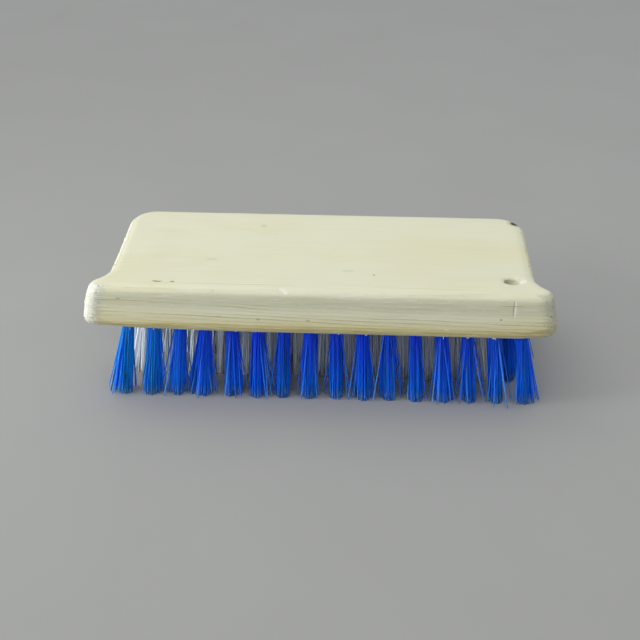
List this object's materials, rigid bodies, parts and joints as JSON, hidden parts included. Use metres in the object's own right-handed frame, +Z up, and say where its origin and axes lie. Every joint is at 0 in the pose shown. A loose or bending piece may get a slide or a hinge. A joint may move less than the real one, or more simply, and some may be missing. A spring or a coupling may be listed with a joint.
{
  "type": "scrub brush",
  "caption": "Wooden hand scrub brush with flared front corners, a slanted blind peg hole and staggered rows of stiff blue and white filament tufts.",
  "frame": {"origin": "centre of the bounding box at the plane of the bristle tips, where the brush stands", "axes": "+X along the block's length, -Y towards the side with the flared corners, +Z up from the bristle tips to the top of the block"},
  "size_m": [0.2034, 0.0762, 0.056],
  "materials": {
    "wood": "bare sanded softwood",
    "blue_bristle": "drawn filament",
    "white_bristle": "drawn filament, slightly translucent",
    "anchor_wire": "plain wire"
  },
  "bodies": {
    "root": {"wooden_block": "wood", "front_tuft_01": "blue_bristle", "front_tuft_02": "blue_bristle", "front_tuft_03": "blue_bristle", "front_tuft_04": "blue_bristle", "front_tuft_05": "blue_bristle", "front_tuft_06": "blue_bristle", "front_tuft_07": "blue_bristle", "front_tuft_08": "blue_bristle", "front_tuft_09": "blue_bristle", "front_tuft_10": "blue_bristle", "front_tuft_11": "blue_bristle", "front_tuft_12": "blue_bristle", "front_tuft_13": "blue_bristle", "front_tuft_14": "blue_bristle", "front_tuft_15": "blue_bristle", "front_tuft_16": "blue_bristle", "back_tuft_01": "blue_bristle", "back_tuft_02": "blue_bristle", "back_tuft_03": "blue_bristle", "back_tuft_04": "blue_bristle", "back_tuft_05": "blue_bristle", "back_tuft_06": "blue_bristle", "back_tuft_07": "blue_bristle", "back_tuft_08": "blue_bristle", "back_tuft_09": "blue_bristle", "back_tuft_10": "blue_bristle", "back_tuft_11": "blue_bristle", "back_tuft_12": "blue_bristle", "back_tuft_13": "blue_bristle", "back_tuft_14": "blue_bristle", "back_tuft_15": "blue_bristle", "back_tuft_16": "blue_bristle", "second_row_tufts": "white_bristle", "second_row_end_tuft": "blue_bristle", "middle_row_tufts": "white_bristle", "middle_row_end_tuft": "blue_bristle", "fourth_row_tufts": "white_bristle", "fourth_row_end_tuft": "blue_bristle", "front_row_anchors": "anchor_wire", "second_row_anchors": "anchor_wire", "middle_row_anchors": "anchor_wire", "fourth_row_anchors": "anchor_wire", "back_row_anchors": "anchor_wire"}
  },
  "joints": []
}
